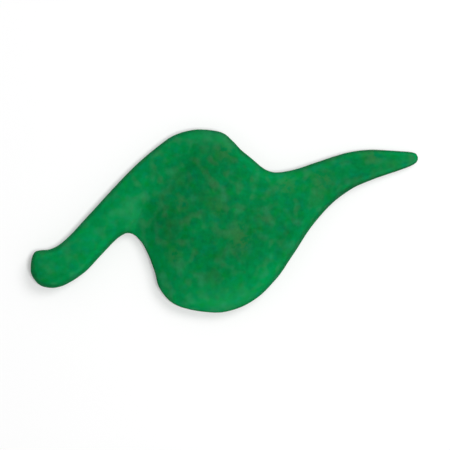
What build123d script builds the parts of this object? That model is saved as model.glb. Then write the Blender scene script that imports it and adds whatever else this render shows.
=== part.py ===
from build123d import *

import os
from collections import namedtuple

# A free-form crayon cast from wax in one piece, lying on its flat underside.
# Millimetres: x runs along it to the drawing tip, y across it to the shoulder, z up.
length = 116.0  # end of the arm to the drawing tip
depth = 55.0  # top of the shoulder to the bottom of the belly
thickness = 12.5  # flat underside to the crown of the bulb

# The form of every rib, as shares of its own size.
belt_share = 0.30  # height of the widest line, out of the rib's height
overrun_share = 1.25  # how deep the side runs before the flat cut, out of the belt's height
lean_share = 0.50  # how far the side leans in under the widest line, out of that depth
lean_limit = 0.25  # the most that it leans in, out of the rib's span
fill = 0.62  # fullness of the crown from its top to each side; 0.55 is a quarter ellipse
slices_between = 4  # slices of the loft from each rib to the next

# A rib is a vertical slice. Its two ends lie on the upper and the lower edge of the plan,
# in hundredths of the length and of the depth from the middle. Its height is in hundredths
# of the thickness. The crest is how far its highest point lies from the upper end, out of
# its span. Lower_fill is the fullness of the crown on the lower side, where it differs from
# the upper side. Swell is how much of the height is left where the crayon's ends round off.
Rib = namedtuple("Rib", "upper lower height crest lower_fill swell", defaults=(0.50, fill, 1.00))

# The rounded end of the arm.
arm_end = [
    Rib((-49.97, -24.4), (-49.97, -25.6), 61, swell=0.12),
    Rib((-49.8, -20.7), (-49.85, -28.6), 63, swell=0.50),
    Rib((-49.4, -18.1), (-49.1, -31.6), 65, swell=0.76),
    Rib((-48.7, -16.4), (-47.8, -34.5), 68, swell=0.92),
    Rib((-47.4, -15.7), (-46.0, -36.0), 69, swell=0.99),
    Rib((-45.1, -15.2), (-43.4, -36.1), 70),
]

# The arm, up to where the notch begins.
arm = [
    Rib((-42.7, -12.7), (-40.2, -33.6), 70),
    Rib((-39.8, -7.3), (-35.9, -27.4), 70),
    Rib((-36.2, 0.8), (-31.7, -18.0), 70),
    Rib((-32.1, 10.3), (-28.1, -10.2), 70),
]

# The web, where the ribs fan out about the bottom of the notch. The height dips in a valley
# beside the arm. From there the low fill lets the bulb climb in one long slope.
web = [
    Rib((-27.8, 20.2), (-25.8, -6.9), 70),
    Rib((-23.3, 29.8), (-24.7, -6.5), 69, lower_fill=0.60),
    Rib((-18.5, 38.6), (-24.1, -6.7), 69, crest=0.48, lower_fill=0.48),
    Rib((-13.4, 46.4), (-23.5, -7.2), 72, crest=0.44, lower_fill=0.34),
    Rib((-8.4, 49.7), (-22.6, -8.7), 79, crest=0.43, lower_fill=0.30),
    Rib((-3.9, 49.7), (-21.2, -12.4), 88, crest=0.45, lower_fill=0.32),
]

# The crown, the highest part of the bulb.
crown = [
    Rib((-0.3, 48.0), (-19.7, -18.5), 95, crest=0.48, lower_fill=0.34),
    Rib((2.2, 43.6), (-18.2, -26.8), 99, lower_fill=0.36),
    Rib((4.5, 38.5), (-16.7, -36.9), 100, lower_fill=0.38),
]

# The belly and the shoulder of the bulb, up to the saddle where the tail begins.
belly = [
    Rib((7.1, 34.1), (-13.1, -44.9), 100, lower_fill=0.42),
    Rib((9.8, 29.3), (-6.9, -48.8), 99, lower_fill=0.46),
    Rib((12.1, 27.0), (0.4, -49.3), 97, crest=0.52, lower_fill=0.50),
    Rib((14.2, 26.8), (7.4, -43.2), 93, crest=0.53, lower_fill=0.54),
    Rib((16.6, 27.6), (13.4, -31.3), 87, crest=0.53, lower_fill=0.58),
]

# The tail, down to the tip.
tail = [
    Rib((19.7, 29.3), (18.2, -16.6), 85, crest=0.52),
    Rib((23.4, 32.0), (22.5, -2.9), 77),
    Rib((27.6, 34.9), (27.5, 9.2), 68),
    Rib((32.0, 37.5), (32.6, 17.4), 59),
    Rib((36.6, 38.8), (37.6, 22.2), 51),
    Rib((41.3, 38.7), (42.2, 25.6), 42),
    Rib((45.5, 38.1), (46.0, 28.4), 35),
]

# The blunt drawing tip.
tip = [
    Rib((48.1, 37.7), (48.2, 30.2), 29, swell=0.97),
    Rib((49.4, 37.0), (49.4, 31.7), 27, swell=0.78),
    Rib((49.9, 35.5), (49.9, 33.1), 26, swell=0.40),
    Rib((50.0, 34.7), (50.0, 34.0), 26, swell=0.12),
]

# The skin is lofted in these stretches. Each one ends on the first rib of the next.
stretches = (arm_end, arm + web + crown, belly + tail, tip)


def on_parabola(before, here, after, way):
    """Value on the parabola through three ribs' values, way ribs past the middle one."""
    slope = (after - before) / 2
    bend = (before - 2 * here + after) / 2
    return here + slope * way + bend * way**2


def blend(values, place):
    """Smooth value between ribs: the parabola behind eases into the one ahead."""
    last = len(values) - 1
    rib = min(int(place), last - 1)
    way = place - rib
    behind = max(rib, 1)
    ahead = min(rib + 1, last - 1)
    value_behind = on_parabola(*values[behind - 1 : behind + 2], place - behind)
    value_ahead = on_parabola(*values[ahead - 1 : ahead + 2], place - ahead)
    ease = way**2 * (3 - 2 * way)
    return value_behind + (value_ahead - value_behind) * ease


def slice_at(columns, place):
    """Closed outline of one slice: crown, sides leaning in under it, and a base below the flat."""
    upper_x, upper_y, lower_x, lower_y, height, crest, lower_fill, swell = (
        blend(column, place) for column in columns
    )
    belt = belt_share * height
    upper = Vector(upper_x, upper_y, belt)
    lower = Vector(lower_x, lower_y, belt)
    span = lower - upper
    rise = Vector(0, 0, (height - belt) * swell)
    drop = Vector(0, 0, -overrun_share * belt * swell)
    lean = span.normalized() * min(lean_share * drop.length, lean_limit * span.length)
    top = upper + span * crest + rise
    upper_base = upper + drop + lean
    lower_base = lower + drop - lean
    return Wire(
        [
            Bezier(upper, upper + rise * fill, top - span * crest * fill, top),
            Bezier(top, top + span * (1 - crest) * lower_fill, lower + rise * lower_fill, lower),
            Line(lower, lower_base),
            Line(lower_base, upper_base),
            Line(upper_base, upper),
        ]
    )


def rib_columns():
    """The driving values of all the ribs in millimetres, one column for each kind of value."""
    rows = [
        (
            rib.upper[0] * length / 100,
            rib.upper[1] * depth / 100,
            rib.lower[0] * length / 100,
            rib.lower[1] * depth / 100,
            rib.height * thickness / 100,
            rib.crest,
            rib.lower_fill,
            rib.swell,
        )
        for stretch in stretches
        for rib in stretch
    ]
    return list(zip(*rows))


def skin_stretches():
    """One loft for each stretch, through smooth slices from its first rib to the next one's."""
    columns = rib_columns()
    last_rib = len(columns[0]) - 1
    lofts = []
    first = 0
    for stretch in stretches:
        end = min(first + len(stretch), last_rib)
        steps = range(slices_between * (end - first) + 1)
        slices = [slice_at(columns, first + step / slices_between) for step in steps]
        lofts.append(Solid.make_loft(slices))
        first = end
    return lofts


def wax_body():
    """The whole crayon: the lofted stretches in one piece, cut flat underneath."""
    first, *others = skin_stretches()
    cast = split(first.fuse(*others), bisect_by=Plane.XY, keep=Keep.TOP)
    box = cast.bounding_box()
    middle = box.center()
    return Pos(-middle.X, -middle.Y, -box.min.Z) * cast


os.makedirs("parts", exist_ok=True)
export_step(wax_body(), "parts/wax_body.step")
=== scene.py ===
"""Looks of a free-form wax crayon: its cast skin, the mottled wax, a pale floor and soft light."""

import bpy
import numpy as np
from mathutils import Euler, Matrix, Vector, noise
from mathutils.bvhtree import BVHTree

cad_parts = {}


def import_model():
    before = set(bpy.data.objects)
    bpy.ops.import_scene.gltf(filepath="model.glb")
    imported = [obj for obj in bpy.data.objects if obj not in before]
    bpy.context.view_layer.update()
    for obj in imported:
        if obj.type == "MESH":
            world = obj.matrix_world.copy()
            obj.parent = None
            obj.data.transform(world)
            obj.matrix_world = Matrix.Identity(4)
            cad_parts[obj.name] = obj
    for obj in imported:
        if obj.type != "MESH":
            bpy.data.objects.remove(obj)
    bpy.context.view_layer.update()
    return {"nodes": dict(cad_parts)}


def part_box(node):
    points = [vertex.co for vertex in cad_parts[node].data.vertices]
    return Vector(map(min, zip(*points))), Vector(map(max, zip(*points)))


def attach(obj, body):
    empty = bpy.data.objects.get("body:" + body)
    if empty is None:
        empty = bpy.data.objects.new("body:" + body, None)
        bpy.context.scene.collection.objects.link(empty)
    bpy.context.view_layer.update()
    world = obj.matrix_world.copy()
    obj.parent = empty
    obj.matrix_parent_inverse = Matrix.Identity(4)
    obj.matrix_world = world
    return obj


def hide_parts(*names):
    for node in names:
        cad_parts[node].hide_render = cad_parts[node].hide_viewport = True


MM = 0.001

# The skin of the wax.
SKIN_STEP = 0.42 * MM  # distance between neighbouring points of the skin
SKIN_SMOOTHING = 4  # passes that even the points out
RELIEF = (  # size, height, and where the noise is read
    (15 * MM, 0.10 * MM, (3.1, 7.7, 1.3)),  # broad unevenness that the wax keeps from cooling
    (3.2 * MM, 0.035 * MM, (11.0, 2.0, 5.0)),  # shallow lumps of the mixed wax
    (1.1 * MM, 0.012 * MM, (0.4, 9.2, 6.1)),  # its grain
)
PIT_SEED = 11
PIT_SPACING = 6.5 * MM
PITS_IN_SPACING = 4  # bubbles in a cube of that size, of which few reach the surface
PIT_RADIUS = 0.55 * MM  # of the largest air bubble that burst at the surface
PIT_DEPTH = 0.10 * MM
PIT_SIZES = (0.35, 1.0)  # smallest and largest bubble, out of that radius and depth
FLAT_EDGE = 1.2 * MM  # height over which the relief fades out towards the flat underside

# Colours of the waxes, linear: deep, then clear. The tone that mixes them carries painted light and
# shade as well as the wax's own tone.
GREEN = ((0.0004, 0.110, 0.029), (0.0004, 0.295, 0.076))
SEA = ((0.0004, 0.110, 0.042), (0.0004, 0.295, 0.110))
LEAF = ((0.0006, 0.110, 0.016), (0.0006, 0.295, 0.046))
GREY = ((0.018, 0.115, 0.045), (0.018, 0.305, 0.110))
BROWN = ((0.021, 0.108, 0.036), (0.021, 0.288, 0.090))
OLIVE = ((0.022, 0.096, 0.025), (0.022, 0.258, 0.067))

# The tone, 0 deep green to 1 clear green; besides the wax's own tone it carries painted light and
# shade. The painted rim light and side shade go by the upward share of the normal.
BASE_TONE = 0.36
PAINTED_THIN_LIGHT = 0.16  # painted light, added where the wax is thin and the surface low, down from the crest
THIN_LIGHT_HEIGHT = 0.60  # out of the thickness
PAINTED_RIM_LIGHT = 0.23  # painted rim light, added on the upper edge
RIM_LIGHT_FROM = (0.93, 0.72)  # comes in off the level top
RIM_LIGHT_TO = (0.42, 0.66)  # and goes out towards the upright side
PAINTED_SIDE_SHADE = -0.11  # painted shade, added on the steep sides
SIDE_SHADE_SLOPE = (0.60, 0.30)
DRIFTS = (  # noises that move the tone: size, detail, roughness, and by how much
    (8.0 * MM, 3.0, 0.6, 0.45),  # cloud: slow drift
    (1.9 * MM, 2.0, 0.5, 0.52),  # mottle
    (0.8 * MM, 4.0, 0.6, 0.26),  # fine grain of the pigment
)
DRIFT_MIDDLE = 0.5  # what such a noise keeps to, on average

# Patches of painted light and shade, partly the wax's own paler and deeper tone: x and y of the
# middle and of the reach, in hundredths of the length and of the depth, then by how much.
LIGHT_SHADE_AND_TONE_PATCHES = (  # where it is paler, above 0, or deeper, below 0
    (-34, -8, 17, 45, 0.18),  # the arm
    (-23, 8, 8, 20, 0.17),
    (-22, 4, 4, 9, 0.04),
    (-17, 26, 8, 18, 0.06),
    (-7, 22, 12, 34, -0.13),  # the side of the bulb towards the arm
    (-18, 3, 7, 20, -0.24),
    (-15, -9, 7, 18, -0.16),
    (1, 34, 12, 20, -0.17),  # the shoulder
    (5, -8, 9, 20, -0.01),  # the thick of the bulb
    (1, -21, 9, 16, -0.09),
    (-4, -44, 16, 16, 0.32),  # the rim of the belly
    (-3, -46, 8, 5, 0.24),
    (8, -34, 10, 22, 0.29),
    (17, 24, 8, 16, 0.16),  # the saddle
    (34, 28, 22, 26, -0.12),  # the tail
    (32, 8, 14, 16, -0.21),
)
STAINS = (  # where the widest stains of olive wax lie
    (4, -10, 4, 14, 1.0),  # the middle of the bulb
    (-2, 7, 3, 8, 0.7),
    (0, 38, 4, 8, 0.7),  # the shoulder
    (-11, 9, 3, 7, 0.7),
    (-13, -19, 3, 8, 0.7),
    (16, 20, 4, 9, 0.8),  # the saddle
    (25, 22, 4, 10, 1.0),  # the tail
    (38, 36, 4, 8, 0.9),
)
PAINTED_HIGHLIGHTS = (  # where a pale painted highlight lies on the wax
    (-24, 5, 4, 11, 0.45),  # between the arm and the bulb
    (0, -42, 12, 11, 0.25),  # the bottom of the belly
    (-3, 46, 10, 9, 0.35),  # the top of the shoulder
)
ARM_PATCH = (-42, -10, 30, 95)  # the arm, where flecks and stains are fainter
ARM_EDGE = (0.10, 0.75)  # strength of the patch where they start to fade, and where they have
ARM_FLECKS = 0.75  # how strong they still are there

# How the other waxes lie in the green: where each noise is read, its size and detail, and the
# part of it that shows.
HUE_PLACE = (0.31, 0.02, 0.11)
HUE_SIZE = 2.7 * MM
HUE_DETAIL = 1.0
HUE_SEA = (0.50, 0.80)
HUE_LEAF = (0.50, 0.20)
HUE_SHARE = 0.8
FLECKS = (  # wax, place, size, part that shows
    (GREY, (0.07, 0.23, 0.05), 3.4 * MM, (0.51, 0.90)),
    (BROWN, (1.07, 0.23, 0.05), 2.9 * MM, (0.52, 0.88)),
)
FLECK_STRETCH = (1.02, 0.86, 1.0)
FLECK_DETAIL = 0.5
STAIN_PLACE = (0.17, 0.41, 0.29)
STAIN_SIZE = 7.5 * MM
STAIN_DETAIL = 2.0
STAIN_SHOWN = (0.54, 0.74)
STAIN_SHARE = 0.35
STAIN_BROKEN = (0.38, 0.58)  # part of the mottle in which the widest stains show

# The finish: matt, a little smoother where the clouds are deep, with fine scuffs.
SCUFF_STRETCH = (0.25, 1.0, 1.0)
SCUFF_TURN = 0.6
SCUFF_SIZE = 0.45 * MM
SCUFF_DETAIL = 3.0
SCUFF_BREAKUP = 0.6
ROUGHNESS = 0.42
CLOUD_ROUGHNESS = 0.16
SCUFF_ROUGHNESS = 0.10
SCUFF_BUMP = 0.4  # out of the bump of the grain
BUMP_STRENGTH = 0.35
BUMP_DEPTH = 0.06 * MM
FINISH = {
    "Specular IOR Level": 0.011,
    "IOR": 1.43,
    "Subsurface Weight": 0.20,
    "Subsurface Radius": (0.4, 1.0, 0.5),
    "Subsurface Scale": 1.2 * MM,
    "Sheen Weight": 0.06,
    "Sheen Roughness": 0.4,
    "Sheen Tint": (0.05, 1.0, 0.55, 1.0),
}

# The paper.
PAPER_WHITE = 0.92
PAPER_SHARE = 0.68  # how much of its white comes from the light on it
PAPER_ROUGHNESS = 0.9
PAPER_HALF = 1.5  # half of its side
FLOOR_GAP = 0.02 * MM  # keeps it from meeting the flat underside face to face

# The light: two softboxes in a tent, whose levels go by the height of the direction, 0 level
# to 1 overhead.
WHITE = (1.0, 1.0, 1.0, 1.0)
BOX_DISTANCE = 1.0
SOFT_BOXES = (  # name, tilt from overhead, turn from the right towards the shoulder, size, power
    ("key", 0.56, 0.78, 0.5, 4.3),
    ("fill", 0.22, -0.5, 0.20, 4.5),
)
TENT_FOOT = (0.0, 0.5)
TENT_OPENING = (0.90, 0.97)
OVERHEAD = 0.30
TENT_LEVEL = 0.40

# The picture.
VIEW_WIDTH = 1.164  # width of the view, out of the crayon's length
AIM_X = 0.0013  # where the camera aims, out of the length from its middle
AIM_Y = -0.0215  # and out of the depth
SENSOR = 36.0
DISTANCE = 1.5


# ---------------------------------------------------------------- skin


def pits_in(low, high):
    """Seeded centres and sizes of bubbles, scattered through the box of the crayon."""
    random = np.random.default_rng(PIT_SEED)
    spread = np.array(high) - np.array(low)
    count = int(np.prod(spread) / PIT_SPACING**3 * PITS_IN_SPACING)
    centres = np.array(low) + random.random((count, 3)) * spread
    sizes = random.uniform(*PIT_SIZES, count)
    return centres, sizes


def relief(point):
    """Height of the wax's own unevenness at a point, before the pits."""
    return sum(noise.noise(point / size + Vector(place)) * height for size, height, place in RELIEF)


def wax_skin(node, low, high):
    """An even skin over the cast body that carries the relief of the wax."""
    skin = bpy.data.objects.new("wax_skin", node.data.copy())
    bpy.context.scene.collection.objects.link(skin)
    remesh = skin.modifiers.new("even", "REMESH")
    remesh.mode = "VOXEL"
    remesh.voxel_size = SKIN_STEP
    remesh.use_smooth_shade = True
    soften = skin.modifiers.new("soften", "SMOOTH")
    soften.iterations = SKIN_SMOOTHING
    graph = bpy.context.evaluated_depsgraph_get()
    even = bpy.data.meshes.new_from_object(skin.evaluated_get(graph))
    skin.modifiers.clear()
    skin.data = even

    body = BVHTree.FromPolygons(
        [vertex.co for vertex in node.data.vertices],
        [tuple(face.vertices) for face in node.data.polygons],
    )
    places = [(body.find_nearest(point.co)[0], point.normal.copy()) for point in even.vertices]
    points = np.array([place for place, _ in places])
    sunk = np.zeros(len(points))
    for centre, size in zip(*pits_in(low, high)):
        near = np.linalg.norm(points - centre, axis=1) / (PIT_RADIUS * size)
        inside = near < 1
        sunk[inside] = np.maximum(sunk[inside], size * (1 - near[inside] ** 2) ** 2)
    for vertex, (on_body, normal), pit in zip(even.vertices, places, sunk):
        fade = min(max((on_body.z - low[2]) / FLAT_EDGE, 0.0), 1.0)
        height = (relief(on_body) - pit * PIT_DEPTH) * fade
        vertex.co = on_body + normal * height
        vertex.co.z = max(vertex.co.z, low[2])
    for face in even.polygons:
        face.use_smooth = True
    even.update()
    return skin


# ---------------------------------------------------------------- wax


class Nodes:
    """Small helpers that add nodes to one tree and join them up."""

    def __init__(self, tree):
        self.tree = tree

    def add(self, kind, **settings):
        node = self.tree.nodes.new(kind)
        for name, value in settings.items():
            setattr(node, name, value)
        return node

    def feed(self, socket, value):
        if isinstance(value, bpy.types.NodeSocket):
            self.tree.links.new(value, socket)
        else:
            socket.default_value = value

    def feed_all(self, node, values):
        for name, value in values.items():
            self.feed(node.inputs[name], value)

    def math(self, operation, *values):
        node = self.add("ShaderNodeMath", operation=operation)
        for socket, value in zip(node.inputs, values):
            self.feed(socket, value)
        return node.outputs[0]

    def vector_math(self, operation, *values):
        node = self.add("ShaderNodeVectorMath", operation=operation)
        for socket, value in zip(node.inputs, values):
            self.feed(socket, value)
        return node

    def ramp(self, value, start, end, low=0.0, high=1.0):
        node = self.add("ShaderNodeMapRange", interpolation_type="SMOOTHSTEP")
        limits = {"From Min": start, "From Max": end, "To Min": low, "To Max": high}
        self.feed_all(node, {"Value": value, **limits})
        return node.outputs["Result"]

    def mix(self, share, first, second):
        node = self.add("ShaderNodeMix", data_type="RGBA")
        self.feed(node.inputs["Factor"], share)
        colours = [socket for socket in node.inputs if socket.type == "RGBA"]
        for socket, value in zip(colours, (first, second)):
            self.feed(socket, (*value, 1.0) if isinstance(value, tuple) else value)
        return [socket for socket in node.outputs if socket.type == "RGBA"][0]

    def noise(self, position, size, detail, rough=0.5):
        node = self.add("ShaderNodeTexNoise")
        kind = {"Scale": 1 / size, "Detail": detail, "Roughness": rough}
        self.feed_all(node, {"Vector": position, **kind})
        return node.outputs["Fac"]

    def shifted(self, position, offset):
        return self.vector_math("ADD", position, offset).outputs[0]

    def stretched(self, position, scale, turn=0.0):
        node = self.add("ShaderNodeMapping")
        self.feed_all(node, {"Vector": position, "Rotation": (0.0, 0.0, turn), "Scale": scale})
        return node.outputs[0]

    def upward(self, vector):
        node = self.add("ShaderNodeSeparateXYZ")
        self.feed(node.inputs[0], vector)
        return node.outputs["Z"]

    def zone(self, position, centre, reach):
        """1 at the centre, easing to 0 at the reach: a soft patch of the body."""
        away = self.vector_math("SUBTRACT", position, centre).outputs[0]
        share = self.vector_math("DIVIDE", away, reach).outputs[0]
        return self.ramp(self.vector_math("LENGTH", share).outputs["Value"], 1.0, 0.0)


def wax_material(low, high):
    """Mottled green wax: soft tone zones with painted light and shade, flecks of other crayons,
    painted highlights, a matt worn skin.
    """
    material = bpy.data.materials.new("mottled_wax")
    material.use_nodes = True
    nodes = Nodes(material.node_tree)
    shader = material.node_tree.nodes["Principled BSDF"]
    position = nodes.add("ShaderNodeTexCoord").outputs["Object"]
    length, depth, height = (top - bottom for bottom, top in zip(low, high))

    def patch(x, y, reach_x, reach_y):
        centre = (x * length / 100, y * depth / 100, low[2])
        return nodes.zone(position, centre, (reach_x * length / 100, reach_y * depth / 100, length))

    # Painted light: the lower the surface lies, where the wax is thin, the paler it is painted, so
    # the arm and the rims are pale and the thick of the bulb is deep.
    thin_light = nodes.ramp(nodes.upward(position), high[2], low[2] + THIN_LIGHT_HEIGHT * height)
    tone_and_shade = nodes.math("MULTIPLY_ADD", thin_light, PAINTED_THIN_LIGHT, BASE_TONE)
    facing = nodes.upward(nodes.add("ShaderNodeTexCoord").outputs["Normal"])
    # Painted rim light on the upper edge, between the level top and the upright side.
    off_top = nodes.ramp(facing, *RIM_LIGHT_FROM)
    off_side = nodes.ramp(facing, *RIM_LIGHT_TO)
    rim_light = nodes.math("MULTIPLY", off_top, off_side)
    tone_and_shade = nodes.math("MULTIPLY_ADD", rim_light, PAINTED_RIM_LIGHT, tone_and_shade)
    # Painted shade on the steep sides.
    tone_and_shade = nodes.math("MULTIPLY_ADD", nodes.ramp(facing, *SIDE_SHADE_SLOPE), PAINTED_SIDE_SHADE, tone_and_shade)
    # Painted light and shade in soft patches, partly the wax's own paler and deeper tone.
    for *spread, amount in LIGHT_SHADE_AND_TONE_PATCHES:
        tone_and_shade = nodes.math("MULTIPLY_ADD", patch(*spread), amount, tone_and_shade)
    drifts = []
    for *kind, amount in DRIFTS:
        drift = nodes.noise(position, *kind)
        tone_and_shade = nodes.math("MULTIPLY_ADD", nodes.math("SUBTRACT", drift, DRIFT_MIDDLE), amount, tone_and_shade)
        drifts.append(drift)
    cloud, mottle, grain = drifts
    waxes = (GREEN, SEA, LEAF, GREY, OLIVE)
    green, sea, leaf, grey, olive = (nodes.mix(tone_and_shade, *wax) for wax in waxes)

    # Hue: towards the blue in some spots and towards the yellow in others.
    hue = nodes.noise(nodes.shifted(position, HUE_PLACE), HUE_SIZE, HUE_DETAIL)
    colour = nodes.mix(nodes.ramp(hue, *HUE_SEA, 0.0, HUE_SHARE), green, sea)
    colour = nodes.mix(nodes.ramp(hue, *HUE_LEAF, 0.0, HUE_SHARE), colour, leaf)

    # Flecks and stains of other crayons, fainter on the arm, then the painted highlights over them.
    strands = nodes.stretched(position, FLECK_STRETCH)
    crowd = nodes.ramp(patch(*ARM_PATCH), *ARM_EDGE, 1.0, ARM_FLECKS)
    for wax, place, size, shown in FLECKS:
        fleck = nodes.ramp(nodes.noise(nodes.shifted(strands, place), size, FLECK_DETAIL), *shown)
        colour = nodes.mix(nodes.math("MULTIPLY", fleck, crowd), colour, nodes.mix(tone_and_shade, *wax))
    stain = nodes.noise(nodes.shifted(position, STAIN_PLACE), STAIN_SIZE, STAIN_DETAIL)
    stain = nodes.ramp(stain, *STAIN_SHOWN, 0.0, STAIN_SHARE)
    broken = nodes.ramp(mottle, *STAIN_BROKEN)
    for *spread, amount in STAINS:
        spot = nodes.math("MULTIPLY", nodes.math("MULTIPLY", patch(*spread), amount), broken)
        stain = nodes.math("MAXIMUM", stain, spot)
    colour = nodes.mix(nodes.math("MULTIPLY", stain, crowd), colour, olive)
    # Painted highlights: pale patches in the colour of the grey wax.
    for *spread, amount in PAINTED_HIGHLIGHTS:
        painted_highlight = nodes.math("MULTIPLY", patch(*spread), amount)
        colour = nodes.mix(painted_highlight, colour, grey)
    nodes.feed(shader.inputs["Base Color"], colour)

    scuffed = nodes.stretched(position, SCUFF_STRETCH, SCUFF_TURN)
    scuffs = nodes.noise(scuffed, SCUFF_SIZE, SCUFF_DETAIL, SCUFF_BREAKUP)
    rough = nodes.math("MULTIPLY_ADD", cloud, CLOUD_ROUGHNESS, ROUGHNESS)
    rough = nodes.math("MULTIPLY_ADD", scuffs, SCUFF_ROUGHNESS, rough)
    nodes.feed(shader.inputs["Roughness"], rough)
    bump = nodes.add("ShaderNodeBump")
    uneven = nodes.math("MULTIPLY_ADD", scuffs, SCUFF_BUMP, grain)
    nodes.feed_all(bump, {"Strength": BUMP_STRENGTH, "Distance": BUMP_DEPTH, "Height": uneven})
    nodes.feed(shader.inputs["Normal"], bump.outputs["Normal"])
    nodes.feed_all(shader, FINISH)
    return material


# ---------------------------------------------------------------- studio


def floor_material():
    """White paper on a light table: part of its white is its own, seen by the camera only."""
    material = bpy.data.materials.new("white_paper")
    material.use_nodes = True
    nodes = Nodes(material.node_tree)
    shader = material.node_tree.nodes["Principled BSDF"]
    seen = nodes.add("ShaderNodeLightPath").outputs["Is Camera Ray"]
    paper = {
        "Base Color": (PAPER_WHITE * PAPER_SHARE,) * 3 + (1.0,),
        "Roughness": PAPER_ROUGHNESS,
        "Specular IOR Level": 0.0,
        "Emission Color": WHITE,
        "Emission Strength": nodes.math("MULTIPLY", seen, 1 - PAPER_SHARE),
    }
    nodes.feed_all(shader, paper)
    return material


def lay_floor(level):
    """The floor: one wide sheet at a level."""
    mesh = bpy.data.meshes.new("floor")
    sides = ((-1, -1), (1, -1), (1, 1), (-1, 1))
    corners = [(x * PAPER_HALF, y * PAPER_HALF, level) for x, y in sides]
    mesh.from_pydata(corners, [], [(0, 1, 2, 3)])
    floor = bpy.data.objects.new("floor", mesh)
    bpy.context.scene.collection.objects.link(floor)
    floor.data.materials.append(floor_material())
    return floor


def soft_box(name, tilt, turn, size, power):
    """A round softbox turned to the crayon."""
    aim = Euler((0.0, tilt, turn)).to_matrix()
    lamp = bpy.data.lights.new(name, "AREA")
    lamp.shape = "DISK"
    lamp.size = size
    lamp.energy = power
    box = bpy.data.objects.new(name, lamp)
    box.matrix_world = Matrix.Translation(aim @ Vector((0.0, 0.0, BOX_DISTANCE))) @ aim.to_4x4()
    bpy.context.scene.collection.objects.link(box)


def tent():
    """A light tent: even cloth all round, dimmer overhead where it is open for the camera."""
    world = bpy.data.worlds.new("tent")
    world.use_nodes = True
    nodes = Nodes(world.node_tree)
    up = nodes.upward(nodes.add("ShaderNodeTexCoord").outputs["Generated"])
    cloth = nodes.ramp(up, *TENT_FOOT)
    opening = nodes.ramp(up, *TENT_OPENING, 1.0, OVERHEAD)
    level = nodes.math("MULTIPLY", nodes.math("MULTIPLY", cloth, opening), TENT_LEVEL)
    background = world.node_tree.nodes["Background"]
    nodes.feed_all(background, {"Color": WHITE, "Strength": level})
    bpy.context.scene.world = world


def aim_camera(low, high):
    """Straight down from above, framed as wide as the view."""
    length = high[0] - low[0]
    depth = high[1] - low[1]
    camera = bpy.data.cameras.new("camera")
    camera.sensor_width = SENSOR
    camera.lens = SENSOR * DISTANCE / (VIEW_WIDTH * length)
    eye = bpy.data.objects.new("camera", camera)
    eye.location = (AIM_X * length, AIM_Y * depth, low[2] + DISTANCE)
    bpy.context.scene.collection.objects.link(eye)
    bpy.context.scene.camera = eye


def main():
    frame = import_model()
    low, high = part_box("wax_body")
    skin = wax_skin(frame["nodes"]["wax_body"], low, high)
    skin.data.materials.clear()
    skin.data.materials.append(wax_material(low, high))
    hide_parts("wax_body")
    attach(skin, "root")
    lay_floor(low[2] - FLOOR_GAP)
    tent()
    for box in SOFT_BOXES:
        soft_box(*box)
    aim_camera(low, high)
    bpy.context.scene.view_settings.view_transform = "Standard"


main()
